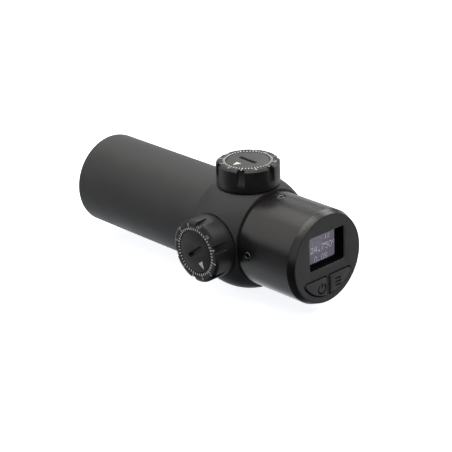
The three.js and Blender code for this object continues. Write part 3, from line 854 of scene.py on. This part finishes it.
def build_set_screw(name, quarter):
    """A headless screw with a hexagon socket."""
    low = SET_SCREW_BOTTOM
    high = SET_SCREW_TOP + SET_SCREW_RISE
    rings = []
    for grow, z in broken_edges(low, high, 0.3):
        rings.append(at_z(full_circle(SET_SCREW_RADIUS + grow, COARSE), z))
    hexagons = []
    for grow, z in ((0, high - SOCKET_DEPTH), (0, high - 0.12), (0.15, high), (0.6, high + OVERCUT)):
        hexagons.append(at_z(full_circle(SOCKET_RADIUS + grow, 6), z))
    return to_screw(carve(loft(name, rings), [loft("cutter", hexagons)]), quarter)


def build_socket_shade(name, quarter):
    """A near-black lining of a set screw's hexagon socket, wall and floor: painted shade."""
    top = SET_SCREW_TOP + SET_SCREW_RISE
    wall = 0.08
    outer = SOCKET_RADIUS - 0.01
    inner = outer - wall
    foot = top - SOCKET_DEPTH + 0.02
    mouth = top - 0.2
    hexagons = []
    for radius, z in ((outer, foot), (outer, mouth), (inner, mouth), (inner, foot + wall)):
        hexagons.append(at_z(full_circle(radius, 6), z))
    return to_screw(loft(name, hexagons), quarter)


place(build_cap(), "housing", "turned_cap", "rear_cap")
place(build_face_plate(), "housing", "face_plate", "face_plate")
for quarter, side in enumerate(("top", "right", "bottom", "left")):
    screw = build_set_screw(f"{side}_set_screw", quarter)
    place(screw, "housing", "black_steel", f"set_screw_{side}")
    # Painted shade in each screw's hexagon socket.
    socket = build_socket_shade(f"{side}_hex_socket_shade", quarter)
    place(socket, "housing", "black_steel", finish=PAINTED_SHADE_FINISH)


def build_shade_lining(name, outline_at, mouth):
    """A near-black lining of an opening in the face plate, from its mouth to the plate's back: painted
    shade on the opening's wall.
    """
    wall = 0.08
    outer = outline_at(0)
    inner = outline_at(-wall)
    return ring_body(name, [
        at_y(outer, mouth),
        at_y(outer, PLATE_BACK),
        at_y(inner, PLATE_BACK),
        at_y(inner, mouth),
    ])


# Painted shade on the walls of the display opening and the button slits.
OPENING_SHADE_MOUTH = REAR + 0.45
KEY_SHADE_MOUTH = REAR + 0.3
shade_lining = build_shade_lining("opening_painted_shade", opening_outline, OPENING_SHADE_MOUTH)
place(shade_lining, "housing", "face_plate", finish=PAINTED_SHADE_FINISH)
for key, side in KEY_SIDES.items():
    shade_lining = build_shade_lining(f"{key}_key_painted_shade", key_opening_outline(side), KEY_SHADE_MOUTH)
    place(shade_lining, "housing", "face_plate", finish=PAINTED_SHADE_FINISH)


# ---------------- display

PANEL_FACE = span("display_panel", Y)[0]

# Each figure is five dots wide and seven high, drawn row by row from the top. The next one
# starts six dots further on.
FIGURE_PITCH = 6
FIGURES = {
    "0": (".###.", "#...#", "#...#", "#...#", "#...#", "#...#", ".###."),
    "1": ("..#..", ".##..", "..#..", "..#..", "..#..", "..#..", ".###."),
    "2": (".###.", "#...#", "....#", "...#.", "..#..", ".#...", "#####"),
    "4": ("...#.", "..##.", ".#.#.", "#..#.", "#####", "...#.", "...#."),
    "5": ("#####", "#....", "####.", "....#", "....#", "#...#", ".###."),
    "7": ("#####", "....#", "...#.", "..#..", ".#...", ".#...", ".#..."),
    "8": (".###.", "#...#", "#...#", ".###.", "#...#", "#...#", ".###."),
    ".": (".....", ".....", ".....", ".....", ".....", ".##..", ".##.."),
    "°": (".##..", "#..#.", "#..#.", ".##..", ".....", ".....", "....."),
}

# Lines of the readout: text, left edge and top edge of its first figure, dot width and height.
READOUT = (
    ("12", 4.2, 5.4, 0.21, 0.20),
    ("24.750°", -2.3, 2.6, 0.28, 0.31),
    ("0.08", -0.6, -0.9, 0.26, 0.32),
)
DOT_FILL = 0.8
DOT_THICKNESS = 0.03
CUBOID = ((0, 1, 2, 3), (7, 6, 5, 4), (0, 4, 5, 1), (1, 5, 6, 2), (2, 6, 7, 3), (3, 7, 4, 0))


def lit_dots():
    """The left and top edge of every lit dot, with the width and height of its place."""
    for text, left, top, width, height in READOUT:
        for place_in_line, figure in enumerate(text):
            for row, dots in enumerate(FIGURES[figure]):
                for column, dot in enumerate(dots):
                    if dot == "#":
                        x = left + (place_in_line * FIGURE_PITCH + column) * width
                        yield x, top - row * height, width, height


def build_pixels():
    """All lit dots as one piece of thin tiles just in front of the display panel."""
    points = []
    faces = []
    back = PANEL_FACE - 0.01
    for x, z, width, height in lit_dots():
        x_end = x + width * DOT_FILL
        z_end = z - height * DOT_FILL
        base = len(points)
        for y in (back, back - DOT_THICKNESS):
            points += [(x, y, z), (x_end, y, z), (x_end, y, z_end), (x, y, z_end)]
        faces += [tuple(base + i for i in quad) for quad in CUBOID]
    return outward(new_piece("display_dots", points, faces))


def slab(name, node, corner):
    """A flat plate across Y with round corners and broken edges, filling a CAD node's box."""
    low, high = span(node, Y)
    width = span(node, X)[1] * 2
    z_low, z_high = span(node, Z)
    height = z_high - z_low
    middle = (z_low + z_high) / 2
    rings = []
    for grow, y in broken_edges(low, high, 0.08):
        outline = rounded_rectangle(width + 2 * grow, height + 2 * grow, middle, corner + grow)
        rings.append(at_y(outline, y))
    return loft(name, rings)


pane = slab("display_pane", "display_window", 0.8)
place(pane, "housing", "display_glass", "display_window")
module = slab("display_module", "display_panel", 0.3)
place(module, "housing", "display_panel", "display_panel")
place(build_pixels(), "housing", "display_panel", finish=PIXELS)


# ---------------- buttons

SYMBOL_DEPTH = 0.3
GROOVE_SHADE_DEPTH = 0.16
SYMBOL_STROKE = 0.55
SYMBOL_Z = -9.4
POWER_SYMBOL_X = -3.1
MENU_SYMBOL_X = 4.4


def groove(outline):
    """A shallow cutter in the buttons' face."""
    return loft("cutter", [at_y(outline, BUTTON_FACE + SYMBOL_DEPTH), at_y(outline, BUTTON_FACE - OVERCUT)])


def bar(centre_x, centre_z, width, height):
    """The outline of a bar with round ends."""
    radius = min(width, height) * 0.45
    return [(x + centre_x, z) for x, z in rounded_rectangle(width, height, centre_z, radius, 4)]


def power_symbol(centre_x):
    """An open ring with an upright bar in its gap."""
    radius = 1.65
    gap = 38
    bar_rise = 1.1
    bar_length = 1.75
    outer = arc((centre_x, SYMBOL_Z), radius + SYMBOL_STROKE / 2, 90 + gap, 450 - gap, 32)
    inner = arc((centre_x, SYMBOL_Z), radius - SYMBOL_STROKE / 2, 450 - gap, 90 + gap, 32)
    return [outer + inner, bar(centre_x, SYMBOL_Z + bar_rise, SYMBOL_STROKE, bar_length)]


def menu_symbol(centre_x):
    """Three level bars."""
    middle = SYMBOL_Z + 0.25
    pitch = 1.2
    width = 2.8
    return [bar(centre_x, middle + step * pitch, width, SYMBOL_STROKE) for step in (-1, 0, 1)]


def build_button(name, side, symbol):
    """A key with rounded edges, a grooved symbol and a flange behind the face plate."""
    edge = 0.3
    flange_low = PLATE_BACK + 0.1
    flange_high = PLATE_BACK + 0.7
    rings = [(BUTTON_FLANGE, flange_high), (BUTTON_FLANGE, flange_low), (0, flange_low)]
    steps = 4
    for i in range(steps + 1):
        angle = math.pi / 2 * i / steps
        rings.append((-edge * (1 - math.cos(angle)), BUTTON_FACE + edge * (1 - math.sin(angle))))
    key = loft(name, [at_y(button_outline(side, grow), y) for grow, y in rings])
    return carve(key, [groove(outline) for outline in symbol])


def build_groove_shade(name, symbol):
    """Near-black pieces that lie a little below the button's face in its grooves: painted shade that
    darkens the symbols.
    """
    back = BUTTON_FACE + SYMBOL_DEPTH + 0.02
    face = BUTTON_FACE + GROOVE_SHADE_DEPTH
    return join(name, [loft("groove_shade", [at_y(outline, back), at_y(outline, face)]) for outline in symbol])


SYMBOLS = {"power": power_symbol(POWER_SYMBOL_X), "mode": menu_symbol(MENU_SYMBOL_X)}
for key, side in KEY_SIDES.items():
    cap = build_button(f"{key}_key_cap", side, SYMBOLS[key])
    place(cap, f"{key}_key", "button", f"{key}_button")
# Painted shade in the symbol grooves.
for key, symbol in SYMBOLS.items():
    place(build_groove_shade(f"{key}_key_groove_shade", symbol), f"{key}_key", "button", finish=PAINTED_SHADE_FINISH)


# ---------------- turrets


def notch_floor(z):
    """Radius of a notch's floor at height z; it scoops in from its foot and ends upright."""
    below_top = (DIAL_TOP - z) / (DIAL_TOP - NOTCH_BOTTOM)
    return DIAL_RADIUS - NOTCH_DEPTH * (1 - below_top ** 2)


def dial_outline(depth_share):
    """The dial's section as (radius, z), with the notch cut in by depth_share from 0 to 1."""
    edge = 0.15
    foot = 0.2
    shoulder = 0.08
    rounding = 0.05
    outer = [(DIAL_FACE_RADIUS - edge, DIAL_TOP), (DIAL_FACE_RADIUS + rounding, DIAL_TOP - rounding)]
    chamfer_steps = 4
    chamfer_width = DIAL_RADIUS - 0.02 - DIAL_FACE_RADIUS
    chamfer_height = DIAL_TOP - DIAL_CHAMFER_Z - rounding
    for i in range(1, chamfer_steps + 1):
        share = i / chamfer_steps
        radius = DIAL_FACE_RADIUS + chamfer_width * share
        outer.append((radius, DIAL_TOP - rounding - chamfer_height * share))
    wall_steps = 10
    wall_height = DIAL_CHAMFER_Z - NOTCH_BOTTOM
    for i in range(wall_steps + 1):
        outer.append((DIAL_RADIUS, DIAL_CHAMFER_Z - shoulder - wall_height * i / wall_steps))
    cut_outer = []
    for radius, z in outer:
        floor = min(radius, notch_floor(z))
        cut_outer.append((radius + (floor - radius) * depth_share, z))
    return [
        (DIAL_SKIRT, DIAL_BOTTOM + edge),
        (DIAL_SKIRT, DIAL_WEB),
        (DIAL_BORE, DIAL_WEB),
        (DIAL_BORE, DIAL_TOP - edge),
        (DIAL_BORE + edge * 0.3, DIAL_TOP - edge * 0.3),
        (DIAL_BORE + edge, DIAL_TOP),
        *cut_outer,
        (DIAL_RADIUS, DIAL_BOTTOM + foot),
        (DIAL_RADIUS - foot * 0.3, DIAL_BOTTOM + foot * 0.3),
        (DIAL_RADIUS - foot, DIAL_BOTTOM),
        (DIAL_SKIRT + edge, DIAL_BOTTOM),
    ]


def dial_sections():
    """Angles round the dial with the notch's share at each, close together at its walls."""
    half = math.degrees(math.asin(NOTCH_WIDTH / 2 / DIAL_RADIUS))
    sections = []
    # Degrees from a notch's wall, with the share of the notch's depth that is cut there.
    reach = 0.9
    wall = ((-reach, 0.0), (-0.45, 0.02), (-0.12, 0.12), (0.12, 0.88), (0.4, 0.98), (reach, 1.0))
    for notch in range(NOTCHES):
        centre = NOTCH_PHASE + 360 * notch / NOTCHES
        for offset, share in wall:
            sections.append((centre - half + offset, share))
        for share_across in (-0.5, 0, 0.5):
            sections.append((centre + half * share_across, 1.0))
        for offset, share in reversed(wall):
            sections.append((centre + half - offset, share))
        gap_start = centre + half + reach
        gap_end = centre + 360 / NOTCHES - half - reach
        steps = 22
        for i in range(1, steps):
            sections.append((gap_start + (gap_end - gap_start) * i / steps, 0.0))
    return sections


def build_dial(name):
    """A scale ring with notches round its rim, open below like a cup."""
    loops = []
    for degrees, share in dial_sections():
        angle = math.radians(degrees)
        across = math.cos(angle)
        along = math.sin(angle)
        loops.append([(radius * across, radius * along, z) for radius, z in dial_outline(share)])
    return ring_body(name, loops)


PAINT_THICKNESS = 0.06
TICK_INNER = 7.42
TICK_OUTER = 8.2
NUMBERED_TICK_OUTER = 8.45
TICK_WIDTH = 0.34
NUMERAL_RADIUS = 9.13
NUMERAL_HEIGHT = 0.96
FIGURE_SHARE = 0.7  # a figure's height in the font, as a share of the font's size


def flat_mark(corners):
    """A thin plate of paint on the dial's face from a flat outline."""
    return loft("mark", [at_z(corners, MARK_TOP - PAINT_THICKNESS), at_z(corners, MARK_TOP)])


def tick(degrees, outer):
    """A radial mark that starts next to the dial's bore."""
    half = TICK_WIDTH / 2
    corners = [(TICK_INNER, -half), (outer, -half), (outer, half), (TICK_INNER, half)]
    return turn(flat_mark(corners), "Z", degrees)


def numeral(text, degrees):
    """A number that stands with its head towards the dial's rim."""
    curve = bpy.data.curves.new("numeral", "FONT")
    curve.body = text
    curve.size = NUMERAL_HEIGHT * MM / FIGURE_SHARE
    curve.extrude = PAINT_THICKNESS * MM / 2
    curve.align_x = "CENTER"
    curve.align_y = "CENTER"
    curve.resolution_u = 3
    holder = bpy.data.objects.new("numeral", curve)
    bpy.context.scene.collection.objects.link(holder)
    bpy.context.view_layer.update()
    mesh = bpy.data.meshes.new_from_object(holder.evaluated_get(bpy.context.evaluated_depsgraph_get()))
    bpy.data.objects.remove(holder)
    piece = bpy.data.objects.new("numeral", mesh)
    bpy.context.scene.collection.objects.link(piece)
    turn(piece, "Z", -90)
    move(piece, NUMERAL_RADIUS, 0, MARK_TOP - PAINT_THICKNESS / 2)
    return turn(piece, "Z", degrees)


def build_scale(name):
    """All marks and numbers of a scale as one piece."""
    marks = []
    for i in range(DIVISIONS):
        degrees = i * (360 / DIVISIONS)
        if i % DIVISIONS_PER_NUMBER == 0:
            marks.append(tick(degrees, NUMBERED_TICK_OUTER))
            marks.append(numeral(str(i // DIVISIONS_PER_NUMBER), degrees))
        else:
            marks.append(tick(degrees, TICK_OUTER))
    return join(name, marks)


def build_disc(name):
    """The adjuster: a slotted disc on a stepped stem that reaches down to the plunger."""
    section = soften([
        (0.0, SCREW_TIP),
        (STEM_RADIUS, SCREW_TIP, 0.2),
        (STEM_RADIUS, STEM_TOP),
        (NECK_RADIUS, STEM_TOP),
        (NECK_RADIUS, DIAL_WEB),
        (DISC_RADIUS, DIAL_WEB),
        (DISC_RADIUS, DIAL_TOP, 0.15),
        (0.0, DIAL_TOP),
    ], 3)
    disc = loft(name, [at_z(full_circle(radius, MEDIUM), z) for radius, z in section[1:-1]])
    reach = (SLOT_LENGTH - SLOT_WIDTH) / 2
    rings = []
    for grow, z in flared(DIAL_TOP - SLOT_DEPTH, DIAL_TOP, 0.15):
        radius = SLOT_WIDTH / 2 + grow
        ends = arc((0, reach), radius, 0, 180, 10) + arc((0, -reach), radius, 180, 360, 10)
        rings.append(at_z(ends, z))
    return carve(disc, [loft("cutter", rings)])


def build_index(name):
    """The white triangle on the disc, pointing out at right angles to the slot."""
    tip = 6.4
    length = 2.6
    half_base = 1.12
    piece = flat_mark([(-tip, 0), (-tip + length, half_base), (-tip + length, -half_base)])
    piece.name = name
    return piece


def build_turret(name, dial_turn, disc_turn, settle, dial_finish=None, disc_finish=None):
    """A turret's four outer pieces, built on +Z, turned, and taken to their place by settle."""
    dial = settle(turn(build_dial(f"{name}_knob"), "Z", dial_turn))
    place(dial, f"{name}_scale", "dial", f"{name}_dial", finish=dial_finish)
    scale = settle(turn(build_scale(f"{name}_scale_marks"), "Z", dial_turn))
    place(scale, f"{name}_scale", "dial", finish=PAINT)
    disc = settle(turn(build_disc(f"{name}_disc"), "Z", disc_turn))
    place(disc, f"{name}_screw", "dial_disc", f"{name}_adjuster", finish=disc_finish)
    index = settle(turn(build_index(f"{name}_index_mark"), "Z", disc_turn))
    place(index, f"{name}_screw", "dial_disc", finish=PAINT)


build_turret("elevation", ELEVATION_DIAL_TURN, ELEVATION_DISC_TURN, lambda piece: piece)
build_turret(
    "windage", WINDAGE_DIAL_TURN, WINDAGE_DISC_TURN, to_side, WINDAGE_DIAL_PAINTED_LIGHT_FINISH, WINDAGE_DISC_PAINTED_SHADE_FINISH,
)


# ---------------- floor, lights, camera


def floor_material():
    """White acrylic lit from below, as a light table is, so shadows on it stay faint."""
    m = Material("pale_floor", 0.9, Specular_IOR_Level=0.1, Emission_Strength=0.88)
    cloud = m.noise(3, 2)
    m.colour(m.ramp(cloud, [(0.3, (0.78, 0.78, 0.785)), (0.7, (0.8, 0.8, 0.805))]))
    m.glow(m.ramp(cloud, [(0.3, (0.95, 0.97, 1.0)), (0.7, (0.96, 0.98, 1.0))]))
    return m.data


def build_floor():
    """A broad floor that only the camera sees, so that it neither lights nor shades the object."""
    half = 4000
    floor = new_piece("floor", at_z(rectangle(half, half), FLOOR), [(0, 1, 2, 3)])
    floor.data.materials.append(floor_material())
    floor.visible_diffuse = False
    floor.visible_glossy = False
    floor.visible_shadow = False


def soft_box(name, direction, distance, width, height, radiance, colour, aim=(0, 0, 0)):
    """A rectangular light that faces its aim from a direction, set by how bright it looks."""
    light = bpy.data.lights.new(name, "AREA")
    light.shape = "RECTANGLE"
    light.size = width
    light.size_y = height
    light.energy = radiance * math.pi * width * height
    light.color = colour
    holder = bpy.data.objects.new(name, light)
    bpy.context.scene.collection.objects.link(holder)
    towards = Vector(direction).normalized()
    holder.location = Vector(aim) + towards * distance
    holder.rotation_euler = (-towards).to_track_quat("-Z", "Y").to_euler()


def build_world():
    """A dark room round a pale table, as the object sees it: bright on the far right, dark below."""
    world = bpy.data.worlds.new("studio")
    world.use_nodes = True
    tree = NodeTree(world.node_tree)
    direction = tree.add("TexCoord").outputs["Generated"]
    towards = tree.add("VectorMath")
    towards.operation = "DOT_PRODUCT"
    towards.inputs[1].default_value = (0.4, 0.3, 0.0)
    tree.links.new(direction, towards.inputs[0])
    shifted = tree.math("ADD", towards.outputs["Value"], 0.5)
    levels = ((0.2, 0.02), (0.4, 0.16), (0.46, 0.42), (0.56, 0.72), (0.85, 0.85))
    table = tree.ramp(shifted, [(at, (level * 0.93, level * 0.96, level)) for at, level in levels])
    height = tree.add("SeparateXYZ", Vector=direction).outputs["Z"]
    below = tree.add("MapRange", From_Min=0.02, From_Max=-0.12, Value=height)
    around = tree.add("MapRange", From_Min=-0.95, From_Max=-0.65, Value=height)

    def mixed(factor, first, second):
        """A plain colour that gives way to another node's colour as factor rises."""
        mix = tree.add("Mix")
        mix.data_type = "RGBA"
        mix.inputs["A"].default_value = (*first, 1)
        tree.links.new(factor, mix.inputs["Factor"])
        tree.links.new(second, mix.inputs["B"])
        return mix.outputs["Result"]

    under_object = (0.035, 0.037, 0.06)
    room = (0.055, 0.057, 0.06)
    lit_table = mixed(around.outputs["Result"], under_object, table)
    surroundings = mixed(below.outputs["Result"], room, lit_table)
    tree.set(tree.nodes["Background"], Color=surroundings)
    bpy.context.scene.world = world


def build_lights():
    """Each light: name, direction, distance, width, height, radiance, colour, aim."""
    soft_box("key", (0.05, 0.44, 0.89), 1.05, 0.6, 1.4, 1.2, (1.0, 0.96, 0.92))
    soft_box("key_falloff", (-0.54, 0.68, 0.46), 1.5, 1.0, 1.1, 1.0, (1.0, 0.98, 0.96))
    soft_box("horizon_strip", (0.71, 0.68, 0.06), 1.6, 1.5, 0.25, 1.0, (0.97, 0.985, 1.0))
    soft_box("ceiling", (0.1, 0.0, 1.0), 1.65, 3.0, 3.4, 0.6, (1.0, 0.99, 0.98))
    soft_box("overhead_strip", (-0.12, 0.001, 0.99), 1.3, 0.25, 1.3, 3.0, (1.0, 0.96, 0.93))
    soft_box("back_panel", (0.57, 0.68, 0.46), 1.6, 1.5, 0.55, 0.9, (0.97, 0.985, 1.0))
    soft_box("right_panel", (0.72, 0.1, 0.62), 1.5, 1.4, 0.6, 2.9, (1.0, 0.98, 0.96))
    soft_box("front_top", (-0.1, -0.65, 0.75), 1.3, 0.5, 0.5, 2.2, (1.0, 0.95, 0.9))
    soft_box("left_fill", (-0.85, -0.35, 0.4), 1.6, 1.4, 1.3, 0.6, (1.0, 1.0, 1.0))
    soft_box("barrel_bounce", (0.25, 0.15, -1.0), 0.065, 0.12, 0.06, 0.55, (0.97, 0.98, 1.0), (0, 0.07, 0))
    build_world()


def build_camera():
    """A long lens that looks at the display end from the left and above."""
    azimuth = math.radians(-42.4)
    elevation = math.radians(23.2)
    roll = math.radians(2.34)
    aim = Vector((-0.0055, 0.0058, 0.00125))
    distance = 0.5708
    back = Vector((
        math.sin(azimuth) * math.cos(elevation),
        -math.cos(azimuth) * math.cos(elevation),
        math.sin(elevation),
    ))
    level = Vector((math.cos(azimuth), math.sin(azimuth), 0))
    upright = back.cross(level)
    right = level * math.cos(roll) - upright * math.sin(roll)
    up = level * math.sin(roll) + upright * math.cos(roll)
    data = bpy.data.cameras.new("camera")
    data.lens = 137.3
    data.sensor_width = 36
    data.clip_end = 50
    camera = bpy.data.objects.new("camera", data)
    bpy.context.scene.collection.objects.link(camera)
    facing = Matrix((right, up, back)).transposed().to_4x4()
    camera.matrix_world = Matrix.Translation(aim + back * distance) @ facing
    bpy.context.scene.camera = camera


build_floor()
build_lights()
build_camera()
bpy.context.scene.view_settings.view_transform = "Standard"
